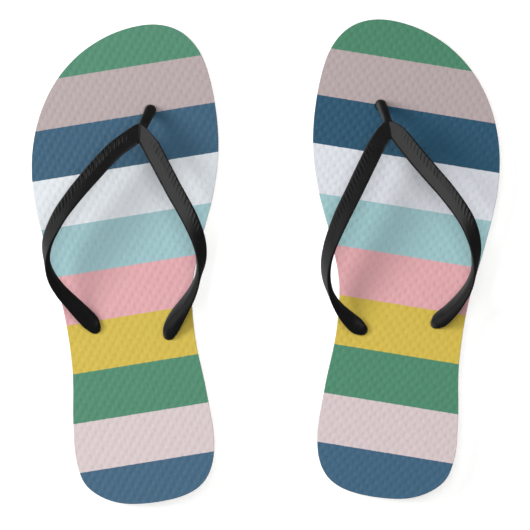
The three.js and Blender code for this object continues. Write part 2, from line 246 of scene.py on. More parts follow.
def new_mesh(name, side, verts, faces, attributes, rest):
    """Mesh object from local millimetres; rest is the place its materials read."""
    if MIRROR[side] < 0:
        faces = [face[::-1] for face in faces]
    mesh = bpy.data.meshes.new(name)
    mesh.from_pydata([tuple(p) for p in to_world(verts, side)], [], faces)
    mesh.validate()
    mesh.update()
    stored = mesh.attributes.new("rest_mm", "FLOAT_VECTOR", "POINT")
    stored.data.foreach_set("vector", np.asarray(rest, np.float32).ravel())
    for key, values in attributes.items():
        stored = mesh.attributes.new(key, "FLOAT", "POINT")
        stored.data.foreach_set("value", np.asarray(values, np.float32))
    mesh.polygons.foreach_set("use_smooth", [True] * len(mesh.polygons))
    return link_object(name, mesh)


def link_object(name, data):
    ob = bpy.data.objects.new(name, data)
    bpy.context.scene.collection.objects.link(ob)
    return ob


def ring_quads(a, b):
    """Quads between two closed rings of equal length."""
    count = len(a)
    return [(a[i], a[(i + 1) % count], b[(i + 1) % count], b[i]) for i in range(count)]


def triangulate(points, loop_sizes, hole_radius):
    """Anticlockwise triangles between the outer loop and the hole loops.

    The loops come first in points, then the loose grid points.
    """
    edges, start = [], 0
    for size in loop_sizes:
        edges += [(start + i, start + (i + 1) % size) for i in range(size)]
        start += size
    result = geometry.delaunay_2d_cdt([Vector(p) for p in points], edges, [], 0, 1e-7, True)
    triangles, origins = result[2], result[3]
    source = np.array([o[0] if len(o) else -1 for o in origins])
    tri = source[np.array(triangles)]
    tri = tri[(tri >= 0).all(1)]
    middle = points[tri].mean(1)
    keep = inside(middle, points[:loop_sizes[0]])
    for hole in HOLES:
        keep &= distance_to(hole, middle) > hole_radius * 0.997
    tri = tri[keep]
    a, b, c = (points[tri[:, k]] for k in range(3))
    clockwise = np.cross(b - a, c - a) < 0
    tri[clockwise] = tri[clockwise][:, ::-1]
    return tri


def layer_mesh(profile, hole_profile, top_pitch, bottom_pitch):
    """Closed slab inside the sole's outline: its vertices, faces and vertex tags.

    profile: (inset, height function) rings from the top face's rim, down the side wall,
    to the bottom face's rim.
    hole_profile: (radius, height function) rings from each hole's top rim to its bottom rim.
    """
    verts, faces, tags = [], [], []

    def add_points(points, height, tag):
        first = sum(len(v) for v in verts)
        verts.append(np.column_stack([points, height(points[:, 1])]))
        tags.append(np.full(len(points), tag))
        return list(range(first, first + len(points)))

    def add_cap(end, pitch, tag):
        inset, height = profile[end]
        radius = hole_profile[end][0]
        loops = [rings[end]] + [hole[end] for hole in hole_rings]
        margin = pitch * 0.55
        grid = add_points(lattice(pitch, inset + margin, radius + margin), height, tag)
        ids = np.concatenate(loops + [grid])
        points = np.vstack(verts)[ids][:, :2]
        tri = triangulate(points, [len(loop) for loop in loops], radius)
        if tag == BOTTOM_TAG:
            tri = tri[:, ::-1]
        faces.extend(tuple(face) for face in ids[tri].tolist())

    rings = [add_points(OUTLINE - OUTWARD * inset, height, k)
             for k, (inset, height) in enumerate(profile)]
    for a, b in zip(rings, rings[1:]):
        # the same first corner, wound the other way, so the wall faces outwards
        faces.extend((quad[0], *quad[:0:-1]) for quad in ring_quads(a, b))
    hole_rings = []
    for hole in HOLES:
        hole_rings.append([add_points(circle(hole, radius, HOLE_COUNT), height, HOLE_TAG + k)
                           for k, (radius, height) in enumerate(hole_profile)])
        for a, b in zip(hole_rings[-1], hole_rings[-1][1:]):
            faces.extend(ring_quads(a, b))
    add_cap(0, top_pitch, TOP_TAG)
    add_cap(-1, bottom_pitch, BOTTOM_TAG)
    return np.vstack(verts), faces, np.concatenate(tags)


# ------------------------------------------------------------ surface relief

DIMPLE_A = (2.48, 3.10)           # the two steps of the dimples' lattice
DIMPLE_B = (2.52, -3.17)
DIMPLE_JITTER = (0.35, 0.45)      # full spread of a dimple's place in u and in v
DIMPLE_SPREAD = (0.74, 1.02)      # mean falloff of a dimple in u and in v
DIMPLE_DEPTH = 0.30

TREAD_PITCH = 6.4                 # groove to groove, along v
ZIGZAG_LENGTH = 11.0              # one zigzag of a groove, along u
ZIGZAG_REACH = 2.6
GROOVE_HALF = (0.55, 1.15)        # half-width of a groove at its floor and at its mouth
GROOVE_DEPTH = 0.95
TREAD_MARGIN = (4.5, 5.5)         # from the outline, where grooves start and are full
POCKET_MARGIN = (2.2, 3.2)        # the same, from a pocket


def hash01(i, j, k):
    x = np.sin(i * 127.1 + j * 311.7 + k * 74.7 + SEED * 0.013) * 43758.5453
    return x - np.floor(x)


def dimples(u, v):
    """Pressed dimples: 0 on the land between them, near 1 at the bottom of one."""
    (ax, ay), (bx, by) = DIMPLE_A, DIMPLE_B
    det = ax * by - ay * bx
    s0 = np.round((u * by - v * bx) / det)
    t0 = np.round((v * ax - u * ay) / det)
    total = np.zeros(len(u))
    for ds in (-1, 0, 1):
        for dt in (-1, 0, 1):
            s, t = s0 + ds, t0 + dt
            shift_u, shift_v, wide, long = (hash01(s, t, k) for k in range(4))
            du = u - (s * ax + t * bx) - (shift_u - 0.5) * DIMPLE_JITTER[0]
            dv = v - (s * ay + t * by) - (shift_v - 0.5) * DIMPLE_JITTER[1]
            spread_u = DIMPLE_SPREAD[0] * (0.92 + 0.16 * wide)
            spread_v = DIMPLE_SPREAD[1] * (0.92 + 0.16 * long)
            bowl = np.exp(-0.5 * (du * du / spread_u ** 2 + dv * dv / spread_v ** 2))
            total += (0.86 + 0.28 * long) * bowl
    return total


def tread(points):
    """Zigzag grooves under the outsole: 0 on the ribs, 1 in a groove."""
    u, v = points[:, 0], points[:, 1]
    zigzag = ZIGZAG_REACH * (4 * np.abs(np.mod(u / ZIGZAG_LENGTH, 1.0) - 0.5) - 1)
    off_groove = np.abs(np.mod((v + zigzag) / TREAD_PITCH, 1.0) - 0.5) * TREAD_PITCH
    depth = 1 - smoothstep(*GROOVE_HALF, off_groove)
    fade = smoothstep(*TREAD_MARGIN, edge_distance(points))
    for hole in HOLES:
        start, full = (POCKET_R + margin for margin in POCKET_MARGIN)
        fade *= smoothstep(start, full, distance_to(hole, points))
    return depth * fade


# ----------------------------------------------------------------- materials


def srgb(r, g, b):
    """Linear colour from 0-255 sRGB values."""
    def linear(c):
        c /= 255.0
        return c / 12.92 if c <= 0.04045 else ((c + 0.055) / 1.055) ** 2.4
    return (linear(r), linear(g), linear(b), 1.0)


class Graph:
    """Adds and links the nodes of one shader tree."""

    def __init__(self, tree):
        self.tree = tree
        tree.nodes.clear()

    def add(self, kind, **props):
        node = self.tree.nodes.new(kind)
        for key, value in props.items():
            setattr(node, key, value)
        return node

    def put(self, socket, value):
        """Link a socket to the input, or set the input to a value."""
        if isinstance(value, bpy.types.NodeSocket):
            self.tree.links.new(value, socket)
        else:
            socket.default_value = value

    def fill(self, node, inputs):
        for key, value in inputs.items():
            self.put(node.inputs[key], value)
        return node

    def attribute(self, name, output="Fac"):
        node = self.add("ShaderNodeAttribute", attribute_type="GEOMETRY", attribute_name=name)
        return node.outputs[output]

    def math(self, operation, *values):
        node = self.add("ShaderNodeMath", operation=operation)
        return self.fill(node, dict(enumerate(values))).outputs[0]

    def total(self, first, *others):
        for other in others:
            first = self.math("ADD", first, other)
        return first

    def vector_math(self, operation, a, b, output="Vector"):
        node = self.add("ShaderNodeVectorMath", operation=operation)
        return self.fill(node, {0: a, 1: b}).outputs[output]

    def noise(self, vector, scale, detail, rough):
        node = self.fill(self.add("ShaderNodeTexNoise"), {
            "Vector": vector, "Scale": scale, "Detail": detail, "Roughness": rough})
        return node.outputs["Fac"]

    def span(self, value, start=0.0, end=1.0, low=0.0, high=1.0, **props):
        """Map start..end to low..high."""
        node = self.fill(self.add("ShaderNodeMapRange", **props), {
            "Value": value, "From Min": start, "From Max": end, "To Min": low, "To Max": high})
        return node.outputs["Result"]

    def swing(self, noise, low, high):
        """Map the usual range of a noise to low..high."""
        return self.span(noise, start=0.3, end=0.7, low=low, high=high)

    def mix(self, factor, a, b, blend="MIX"):
        node = self.add("ShaderNodeMix", data_type="RGBA", blend_type=blend)
        # sockets 6 and 7 are the two colours, and output 2 the mixed one
        return self.fill(node, {"Factor": factor, 6: a, 7: b}).outputs[2]

    def shaded(self, colour, shade):
        """The colour times a grey shade."""
        grey = self.add("ShaderNodeCombineColor")
        for socket in grey.inputs:
            self.put(socket, shade)
        return self.mix(1.0, colour, grey.outputs[0], blend="MULTIPLY")

    def bump(self, height, distance, strength):
        return self.fill(self.add("ShaderNodeBump"), {
            "Strength": strength, "Distance": distance, "Height": height})


class Surface(Graph):
    """A material with one Principled shader."""

    def __init__(self, name):
        self.material = bpy.data.materials.new(name)
        self.material.use_nodes = True
        super().__init__(self.material.node_tree)
        output = self.add("ShaderNodeOutputMaterial")
        self.bsdf = self.add("ShaderNodeBsdfPrincipled")
        self.put(output.inputs["Surface"], self.bsdf.outputs[0])

    def finish(self, inputs):
        self.fill(self.bsdf, inputs)
        return self.material


def cut_rubber(m, rest, tint):
    """Colour, normal and streaks of cut foam rubber: pores, and streaks left by the die."""
    stretched = m.vector_math("MULTIPLY", rest, (1.0, 1.0, 0.07))
    streak = m.noise(stretched, scale=1.5, detail=3.0, rough=0.6)
    mottle = m.noise(rest, scale=0.12, detail=3.0, rough=0.55)
    pores = m.fill(m.add("ShaderNodeTexVoronoi"), {"Vector": rest, "Scale": 1.5})
    shade = m.total(m.swing(mottle, low=-0.03, high=0.03),
                    m.swing(streak, low=-0.02, high=0.02), 1.0)
    colour = m.shaded(tint, shade)
    pit = m.span(pores.outputs["Distance"], end=0.35)
    height = m.total(m.math("MULTIPLY", streak, 0.6), m.math("MULTIPLY", pit, 0.4))
    normal = m.bump(height, distance=0.00012, strength=0.6).outputs["Normal"]
    return colour, normal, streak


# Stripes from toe to heel: the local v where each one ends, and its colour.
# The last stripe runs on to the heel. Each side has its own inks. The left sandal's inks are
# lighter than the right's by a painted sheen, most in the dark navy and green.
STRIPE_ENDS = {
    "left": [108.5, 81.7, 54.6, 27.6, 0.8, -26.3, -53.3, -80.4, -107.4],
    "right": [109.5, 83.2, 56.7, 29.9, 3.4, -23.4, -50.5, -77.8, -104.9],
}
INKS_WITH_SIDE_SHEEN = {
    "left": [(83, 142, 115), (187, 172, 172), (59, 98, 124), (230, 235, 240),
             (162, 201, 206), (231, 174, 179), (216, 190, 79), (82, 143, 114),
             (222, 206, 207), (68, 105, 132)],
    "right": [(76, 138, 108), (187, 171, 172), (39, 86, 113), (228, 231, 238),
              (164, 205, 209), (235, 176, 181), (220, 193, 79), (80, 143, 114),
              (223, 206, 208), (64, 103, 131)],
}
STRIPE_SOFT = 0.08                # half-width of the change between two inks, in mm


def stripes(m, rest, side):
    """Flat ink colour by local v, with each side's painted sheen in its inks; the stripes' edges
    wander by about a tenth of a mm.
    """
    place = m.fill(m.add("ShaderNodeSeparateXYZ"), {0: rest})
    wander = m.noise(rest, scale=1.3, detail=2.0, rough=0.6)
    v = m.total(place.outputs[1], m.swing(wander, low=-0.12, high=0.12))
    *inks, last_ink = INKS_WITH_SIDE_SHEEN[side]
    colour = srgb(*last_ink)
    for end, ink in reversed(list(zip(STRIPE_ENDS[side], inks))):
        past_end = m.span(v, start=end - STRIPE_SOFT, end=end + STRIPE_SOFT)
        colour = m.mix(past_end, colour, srgb(*ink))
    return colour


def footbed_material(side):
    m = Surface(f"footbed_print_{side}")
    rest = m.attribute("rest_mm", "Vector")
    flat = stripes(m, rest, side)
    # Painted shade: the print is darkened a little towards the bottom of each dimple, where
    # shade falls.
    dimple = m.attribute("dimple")
    mottle = m.noise(rest, scale=0.22, detail=4.0, rough=0.6)
    speck = m.noise(rest, scale=2.2, detail=2.0, rough=0.5)
    shade = m.total(m.span(dimple, low=1.01, high=0.975),
                    m.swing(mottle, low=-0.022, high=0.022),
                    m.swing(speck, low=-0.012, high=0.012))
    printed = m.shaded(flat, shade)
    white, wall_normal, _ = cut_rubber(m, rest, srgb(243, 242, 238))
    # Ink stops at the cut edge, with a ragged rim.
    rim = m.noise(rest, scale=2.0, detail=2.0, rough=0.5)
    ragged = m.total(m.attribute("ink"), m.swing(rim, low=-0.18, high=0.18))
    inked = m.span(ragged, start=0.42, end=0.58)
    fine = m.noise(rest, scale=5.0, detail=2.0, rough=0.6)
    grain = m.fill(m.bump(fine, distance=0.00003, strength=0.7), {"Normal": wall_normal})
    return m.finish({
        "Base Color": m.mix(inked, white, printed),
        "Roughness": m.total(m.swing(mottle, low=0.50, high=0.57),
                             m.span(dimple, low=0.0, high=0.04)),
        "Specular IOR Level": 0.45,
        "Normal": grain.outputs["Normal"]})


def rubber_material(name, tint):
    m = Surface(name)
    colour, normal, streak = cut_rubber(m, m.attribute("rest_mm", "Vector"), tint)
    return m.finish({
        "Base Color": colour,
        "Roughness": m.swing(streak, low=0.62, high=0.8),
        "Specular IOR Level": 0.3,
        "Normal": normal})


def strap_material():
    m = Surface("strap_satin_black")
    rest = m.attribute("rest_mm", "Vector")
    cloud = m.noise(rest, scale=0.16, detail=3.0, rough=0.55)
    fine = m.noise(rest, scale=3.2, detail=3.0, rough=0.6)
    dust = m.noise(rest, scale=0.9, detail=4.0, rough=0.65)
    black = m.mix(m.swing(cloud, low=0.0, high=1.0), srgb(20, 20, 21), srgb(25, 25, 26))
    dusty = m.span(dust, start=0.62, end=0.8, high=0.25)
    return m.finish({
        "Base Color": m.mix(dusty, black, srgb(34, 34, 34)),
        "Roughness": m.total(m.swing(cloud, low=0.29, high=0.35),
                             m.swing(fine, low=-0.04, high=0.04)),
        "Specular IOR Level": m.span(m.attribute("groove"), low=0.5, high=0.40),
        "Normal": m.bump(fine, distance=0.00002, strength=0.8).outputs["Normal"]})


def floor_material():
    return Surface("floor_pale").finish({
        "Base Color": (0.86, 0.86, 0.86, 1.0),
        "Roughness": 0.9,
        "Specular IOR Level": 0.1,
        "Emission Color": (1.0, 1.0, 1.0, 1.0),
        "Emission Strength": 0.42})


# ---------------------------------------------------------------- sole pieces
# Each piece returns its vertices, faces, attributes and resting vertices.


def footbed_sheet():
    """Top sheet with pressed dimples, dished a little round the holes."""
    rest, faces, tags = layer_mesh(
        profile=[(0.62, top_at), (0.30, above(top_at, -0.05)), (0.09, above(top_at, -0.20)),
                 (0.0, above(top_at, -0.50)), (0.0, above(top_at, -1.3)),
                 (0.0, above(top_at, -2.4)), (0.0, above(upper_seam, 0.35)),
                 (0.12, above(upper_seam, 0.08)), (0.35, above(upper_seam, 0.01))],
        hole_profile=[(HOLE_R + 0.8, above(top_at, -0.10)), (HOLE_R + 0.3, above(top_at, -0.22)),
                      (HOLE_R + 0.02, above(top_at, -0.6)), (HOLE_R, above(top_at, -1.4)),
                      (HOLE_R, above(upper_seam, 0.01))],
        top_pitch=0.55, bottom_pitch=4.0)
    verts = rest.copy()
    # how far the dimples reach on the top face and its first two rings
    depth = np.zeros(len(rest))
    for tag, reach in ((TOP_TAG, 1.0), (0, 0.6), (1, 0.25)):
        chosen = tags == tag
        depth[chosen] = dimples(rest[chosen, 0], rest[chosen, 1]) * reach
    for hole in HOLES:
        away = distance_to(hole, rest)
        depth *= smoothstep(HOLE_R + 0.8, HOLE_R + 2.6, away)
        dish = 0.10 * (1 - smoothstep(HOLE_R + 0.8, HOLE_R + 4.5, away))
        verts[:, 2] -= np.where(tags == TOP_TAG, dish, 0.0)
    verts[:, 2] -= depth * DIMPLE_DEPTH
    # ink covers the top face, the upper rings of the wall and of the holes
    ink = np.zeros(len(rest))
    for tag, cover in ((TOP_TAG, 1.0), (0, 1.0), (1, 0.95), (2, 0.5),
                       (HOLE_TAG, 1.0), (HOLE_TAG + 1, 1.0), (HOLE_TAG + 2, 1.0)):
        ink[tags == tag] = cover
    return verts, faces, {"dimple": depth, "ink": ink}, rest


def midsole_foam():
    verts, faces, _ = layer_mesh(
        profile=[(0.30, above(upper_seam, -0.01)), (0.10, above(upper_seam, -0.08)),
                 (0.0, above(upper_seam, -0.35)),
                 (0.0, midsole_height(0.66)), (0.0, midsole_height(0.33)),
                 (0.0, level(LOWER_SEAM + 0.35)), (0.10, level(LOWER_SEAM + 0.08)),
                 (0.30, level(LOWER_SEAM + 0.01))],
        hole_profile=[(HOLE_R, above(upper_seam, -0.01)), (HOLE_R, midsole_height(0.5)),
                      (HOLE_R, level(LOWER_SEAM + 0.01))],
        top_pitch=4.0, bottom_pitch=4.0)
    return verts, faces, {}, verts


def outsole_tread():
    """Bottom layer with zigzag grooves and a round pocket under each hole."""
    rest, faces, tags = layer_mesh(
        profile=[(0.30, level(LOWER_SEAM - 0.01)), (0.10, level(LOWER_SEAM - 0.08)),
                 (0.0, level(LOWER_SEAM - 0.35)), (0.0, level(3.4)), (0.0, level(2.0)),
                 (0.0, level(0.9)), (0.14, level(0.42)), (0.5, level(0.10)), (1.1, level(0.0))],
        hole_profile=[(HOLE_R, level(LOWER_SEAM - 0.01)), (HOLE_R, level(POCKET_DEPTH + 0.3)),
                      (HOLE_R + 0.3, level(POCKET_DEPTH)), (POCKET_R - 0.4, level(POCKET_DEPTH)),
                      (POCKET_R, level(POCKET_DEPTH - 0.4)), (POCKET_R, level(0.4)),
                      (POCKET_R + 0.4, level(0.0))],
        top_pitch=4.0, bottom_pitch=0.62)
    verts = rest.copy()
    bottom = tags == BOTTOM_TAG
    verts[bottom, 2] += GROOVE_DEPTH * tread(rest[bottom][:, :2])
    return verts, faces, {}, rest


# Local v at the two ends of a bending zone for each part; nothing bends, as bend_between only
# bakes the transform.
SOLE_BEND = (54.0, -6.0)
STRAP_BEND = (74.0, -21.0)        # the strap's free length, between toe post and side plugs


def bend_between(ob, side, zone):
    start, end = (to_world(np.array([[0.0, v, top_at(v)]]), side)[0] for v in zone)
    end[2] = start[2]
    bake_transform(ob)


def build_soles():
    """Both soles, of three layers each; returns the footbeds."""
    print_materials = {side: footbed_material(side) for side in MIRROR}
    foam = rubber_material("midsole_white_foam", srgb(244, 243, 239))
    rubber = rubber_material("outsole_white_rubber", srgb(240, 239, 234))
    # slot, form, mesh, material on each side
    layers = [
        ("footbed", "sheet", footbed_sheet(), print_materials),
        ("midsole", "foam", midsole_foam(), dict.fromkeys(MIRROR, foam)),
        ("outsole", "tread", outsole_tread(), dict.fromkeys(MIRROR, rubber)),
    ]
    footbeds = []
    for side in MIRROR:
        for slot, form, mesh, materials in layers:
            ob = new_mesh(f"{side}_{slot}_{form}", side, *mesh)
            ob.data.materials.append(materials[side])
            bend_between(ob, side, SOLE_BEND)
            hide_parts(f"{side}_{slot}_toe_half", f"{side}_{slot}_heel_half")
            ob.visible_glossy = False     # the straps mirror the soft boxes only
            if slot == "footbed":
                footbeds.append(ob)
    return footbeds


# --------------------------------------------------------------- strap stations


def stem(hole, heights, tilt):
    """Round stations straight up or down through a hole."""
    return [[*hole, height, 5.7, 5.7, tilt, 2] for height in heights]


def root(hole, du=0.0, dv=0.0):
    """End of an arm: a neck over the hole, off centre by du and dv, and the stem below."""
    neck = [hole[0] + du, hole[1] + dv, 2.4, 7.2, 4.2, 176, 2.4]
    return [neck] + stem(hole, (-0.6, -6.0, -14.5), tilt=180)


TOE_STEM = stem(TOE_HOLE, (-14.0, -6.0, 0.2), tilt=0)

# ridge: (u, v) line where the two arms meet. shoulder: (u, v) rounded outline of the yoke,
# towards +u. post, outer and inner: stations of
# [u, v, height of the centre line over the footbed, width, thickness, tilt in degrees,
#  squareness of the section, 2 for round].
STRAPS = {
    "left": {
        "ridge": [[11.7, 78.5], [8.5, 64]],
        "shoulder": [[3.4, 74.4], [7.9, 76.2], [11.3, 76.8], [13.4, 74.8], [14.7, 73.1],
                     [17.8, 68.2]],
        "post": TOE_STEM + [
            [17.6, 82.4, 5.3, 6.1, 6.4, 0, 2.2], [16.1, 79.8, 12.6, 5.8, 6.2, 0, 2.3],
            [14.3, 77.0, 19.0, 5.4, 5.8, 0, 2.4], [12.6, 74.2, 24.4, 5.2, 5.0, 0, 2.4],
            [11.0, 71.0, 27.4, 5.2, 3.4, 0, 2.4]],
        "outer": [
            [15.0, 73.5, 27.2, 10.6, 3.6, 24, 3.4], [6.0, 69.4, 29.8, 11.1, 3.6, 26, 3.4],
            [-3.6, 64.5, 32.4, 11.1, 3.6, 26, 3.4], [-11.2, 59.1, 34.6, 11.1, 3.6, 26, 3.4],
            [-18.1, 53.5, 36.2, 11.1, 3.6, 27, 3.4], [-25.2, 47.5, 37.3, 11.1, 3.6, 30, 3.4],
            [-32.1, 41.2, 37.8, 11.1, 3.6, 36, 3.4], [-38.6, 34.7, 38.0, 11.1, 3.6, 40, 3.4],
            [-44.2, 27.5, 36.8, 11.1, 3.6, 48, 3.4], [-48.8, 19.8, 34.7, 11.1, 3.6, 60, 3.4],
            [-50.9, 11.1, 31.1, 10.9, 3.6, 86, 3.4], [-49.8, 2.2, 25.1, 10.7, 3.6, 112, 3.4],
            [-46.1, -6.3, 18.3, 10.7, 3.6, 125, 3.3], [-41.0, -14.2, 12.3, 10.7, 3.6, 136, 3.2],
            [-35.9, -21.7, 7.6, 10.7, 3.6, 148, 3], [-32.6, -27.0, 4.3, 10.0, 3.6, 160, 2.8],
        ] + root(OUTER_HOLE, dv=0.2),
        "inner": [
            [6.8, 81.0, 26.6, 10.0, 3.6, 22, 3.4], [10.4, 74.0, 28.3, 10.5, 3.6, 23, 3.4],
            [13.4, 67.6, 29.8, 11.0, 3.6, 24, 3.4], [15.9, 60.1, 31.8, 11.0, 3.6, 25, 3.4],
            [18.6, 52.2, 33.5, 11.0, 3.6, 26, 3.4], [21.2, 44.3, 34.1, 11.0, 3.6, 27, 3.4],
            [23.9, 36.3, 34.1, 11.0, 3.6, 28, 3.4], [26.8, 28.4, 33.8, 11.0, 3.6, 30, 3.4],
            [29.5, 20.3, 33.4, 11.0, 3.6, 33, 3.4], [31.5, 12.1, 32.1, 11.0, 3.6, 40, 3.4],
            [32.5, 3.8, 30.0, 11.0, 3.6, 52, 3.4], [31.7, -4.4, 26.6, 10.8, 3.6, 68, 3.4],
            [28.8, -12.1, 22.6, 10.8, 3.6, 94, 3.4], [24.2, -19.2, 17.9, 10.8, 3.6, 114, 3.3],
            [18.6, -25.7, 12.4, 10.8, 3.6, 130, 3.2], [13.4, -31.6, 7.6, 10.4, 3.6, 146, 3],
            [10.0, -36.6, 4.3, 9.4, 3.6, 162, 2.8],
        ] + root(INNER_HOLE, dv=0.2),
    },
    "right": {
        "ridge": [[13.3, 78.5], [9.3, 63]],
        "shoulder": [[-2.2, 68.1], [1.2, 70.8], [4.6, 73.1], [7.8, 74.4], [10.8, 75.4],
                     [15.1, 73.9], [18.1, 69.6], [20.4, 64.7]],
        "post": TOE_STEM + [
            [17.5, 82.5, 5.3, 5.6, 6.2, 0, 2.2], [16.1, 80.0, 12.6, 5.1, 6.0, 0, 2.3],
            [14.4, 77.0, 19.0, 4.7, 5.6, 0, 2.4], [12.9, 74.2, 24.4, 4.6, 5.0, 0, 2.4],
            [11.4, 71.0, 27.4, 4.8, 3.4, 0, 2.4]],
        "outer": [
            [14.7, 76.3, 27.0, 10.6, 3.6, 24, 3.4], [7.0, 69.1, 29.6, 11.0, 3.6, 26, 3.4],
            [-1.2, 61.4, 31.9, 11.4, 3.6, 26, 3.4], [-8.9, 54.7, 33.7, 11.4, 3.6, 26, 3.4],
            [-16.1, 48.6, 35.0, 11.4, 3.6, 27, 3.4], [-23.5, 42.4, 35.9, 11.4, 3.6, 29, 3.4],
            [-30.6, 35.7, 36.4, 11.4, 3.6, 34, 3.4], [-37.1, 28.6, 36.1, 11.4, 3.6, 36, 3.4],
            [-42.1, 20.7, 35.0, 11.4, 3.6, 46, 3.4], [-45.6, 12.0, 32.5, 11.1, 3.6, 60, 3.4],
            [-46.7, 2.6, 27.0, 10.8, 3.6, 86, 3.4], [-45.2, -6.8, 20.1, 10.8, 3.6, 108, 3.3],
            [-41.2, -15.6, 13.3, 10.8, 3.6, 124, 3.2], [-36.2, -23.6, 7.9, 10.4, 3.6, 140, 3],
            [-32.6, -28.2, 4.6, 9.6, 3.6, 158, 2.8],
        ] + root(OUTER_HOLE, dv=-0.1),
        "inner": [
            [8.4, 81.0, 26.6, 10.0, 3.6, 22, 3.4], [11.6, 73.7, 28.3, 10.5, 3.6, 23, 3.4],
            [14.4, 66.4, 29.8, 10.9, 3.6, 24, 3.4], [16.9, 59.8, 31.8, 10.9, 3.6, 25, 3.4],
            [19.4, 51.5, 33.4, 10.9, 3.6, 26, 3.4], [21.9, 43.2, 33.8, 10.9, 3.6, 26, 3.4],
            [24.3, 34.9, 33.7, 10.9, 3.6, 27, 3.4], [26.8, 26.6, 33.5, 10.9, 3.6, 28, 3.4],
            [29.2, 18.3, 33.0, 10.9, 3.6, 32, 3.4], [31.2, 9.8, 31.7, 10.9, 3.6, 40, 3.4],
            [32.8, 1.2, 29.6, 10.9, 3.6, 50, 3.4], [33.3, -7.6, 26.3, 10.8, 3.6, 61, 3.4],
            [31.9, -16.0, 22.1, 10.8, 3.6, 74, 3.4], [28.3, -23.7, 16.7, 10.8, 3.6, 92, 3.3],
            [22.6, -30.2, 11.4, 10.8, 3.6, 114, 3.2], [15.7, -35.7, 6.9, 10.4, 3.6, 140, 3],
            [11.2, -38.8, 4.4, 9.4, 3.6, 162, 2.8],
        ] + root(INNER_HOLE, du=0.3),
    },
}
SECTION_COUNT = 36                # points round a strap's section
STEPS_PER_STATION = 12

# ----------------------------------------------------------------- strap shapes


def blur(values, sigma):
    reach = int(3 * sigma) + 1
    kernel = np.exp(-0.5 * (np.arange(-reach, reach + 1) / sigma) ** 2)
    kernel /= kernel.sum()
    padded = np.concatenate([np.full(reach, values[0]), values, np.full(reach, values[-1])])
    return np.convolve(padded, kernel, "valid")


def plan_angles(tangents):
    """Smoothed direction of travel seen from above, held where the path runs steeply."""
    angles, held = [], None
    for tangent in tangents:
        if held is None or math.hypot(tangent[0], tangent[1]) > 0.45:
            held = math.atan2(tangent[1], tangent[0])
        angles.append(held)
    return blur(np.unwrap(angles), 5.0)


def strap_path(stations, outward, heading=None):
    """Dense stations along a strap, each with its own axes, width and thickness.

    outward: sign of the section's outer edge along its side axis.
    heading: fixed direction in plan, or None to follow the path.
    """
    rows = np.array(stations, float)
    points = np.column_stack([rows[:, 0], rows[:, 1], top_at(rows[:, 1]) + rows[:, 2]])
    centre, tangent = catmull(points, STEPS_PER_STATION, False)
    place = np.arange(len(centre)) / STEPS_PER_STATION
    width, thick, tilt, square = (
        blur(np.interp(place, np.arange(len(rows)), rows[:, k]), 4.0) for k in (3, 4, 5, 6))
    tilt = np.radians(tilt)
    if heading is None:
        angle = plan_angles(tangent)
    else:
        angle = np.full(len(centre), math.atan2(heading[1], heading[0]))
    sideways = np.column_stack([-np.sin(angle), np.cos(angle), np.zeros(len(centre))])
    sideways -= tangent * (sideways * tangent).sum(1)[:, None]
    sideways /= np.linalg.norm(sideways, axis=1)[:, None]
    up = np.cross(tangent, sideways)
    cos, sin = np.cos(tilt)[:, None], (outward * np.sin(tilt))[:, None]
    return {"centre": centre, "tangent": tangent, "face": up * cos + sideways * sin,
            "across": sideways * cos - up * sin, "width": width, "thick": thick,
            "square": square, "run": run_lengths(centre), "outward": outward}


def skin_rings(rings):
    """Closed bmesh over a row of point rings."""
    bm = bmesh.new()
    rows = [[bm.verts.new(tuple(point)) for point in ring] for ring in rings]
    for a, b in zip(rows, rows[1:]):
        for quad in ring_quads(a, b):
            bm.faces.new(quad)
    bm.faces.new(rows[0][::-1])
    bm.faces.new(rows[-1])
    bmesh.ops.recalc_face_normals(bm, faces=bm.faces)
    return bm


def strap_section(half, deep, square, outward):
    """Section from half its width and thickness; square 2 is round, 3 and over is flat.

    A flat section has a flat face with a soft outer shoulder, and a shallow belly on the
    worn side that thins to a lip at both edges.
    """
    angle = (np.arange(SECTION_COUNT) + 0.5) / SECTION_COUNT * 2 * math.pi
    cos, sin = np.cos(angle), np.sin(angle)
    power = 2 / square
    x = np.sign(cos) * np.abs(cos) ** power * half
    round_y = np.sign(sin) * np.abs(sin) ** power * deep
    flatness = np.clip(square - 2, 0, 1)
    out = x * outward / half          # -1 to 1, towards the outer edge
    shoulder = np.clip((out - 0.68) / 0.32, 0, 1) ** 1.5
    face_y = deep - 0.10 * out ** 2 - 0.50 * shoulder - 0.12 * np.abs(out) ** 12
    lip = np.where(out > 0, 1.5, 0.95)
    back_y = -deep + (2 * deep - lip) * np.abs(out) ** 2.6
    y = flatness * np.where(sin > 0, face_y, back_y) + (1 - flatness) * round_y
    return x, y


def sweep(path):
    rings = []
    for i, centre in enumerate(path["centre"]):
        x, y = strap_section(path["width"][i] / 2, path["thick"][i] / 2, path["square"][i],
                             path["outward"])
        rings.append(centre + x[:, None] * path["across"][i] + y[:, None] * path["face"][i])
    return skin_rings(rings)


def slice_off(bm, point, normal, clear):
    """Cut with an upright plane, clear its inner or outer side, and close the cut."""
    parts = bm.verts[:] + bm.edges[:] + bm.faces[:]
    bmesh.ops.bisect_plane(bm, geom=parts, plane_co=(*point, 0), plane_no=(*normal, 0),
                           **{clear: True})
    open_edges = [edge for edge in bm.edges if len(edge.link_faces) == 1]
    if open_edges:
        bmesh.ops.holes_fill(bm, edges=open_edges, sides=0)


def left_normal(start, end):
    along = end - start
    normal = np.array([-along[1], along[0]])
    return normal / np.linalg.norm(normal)


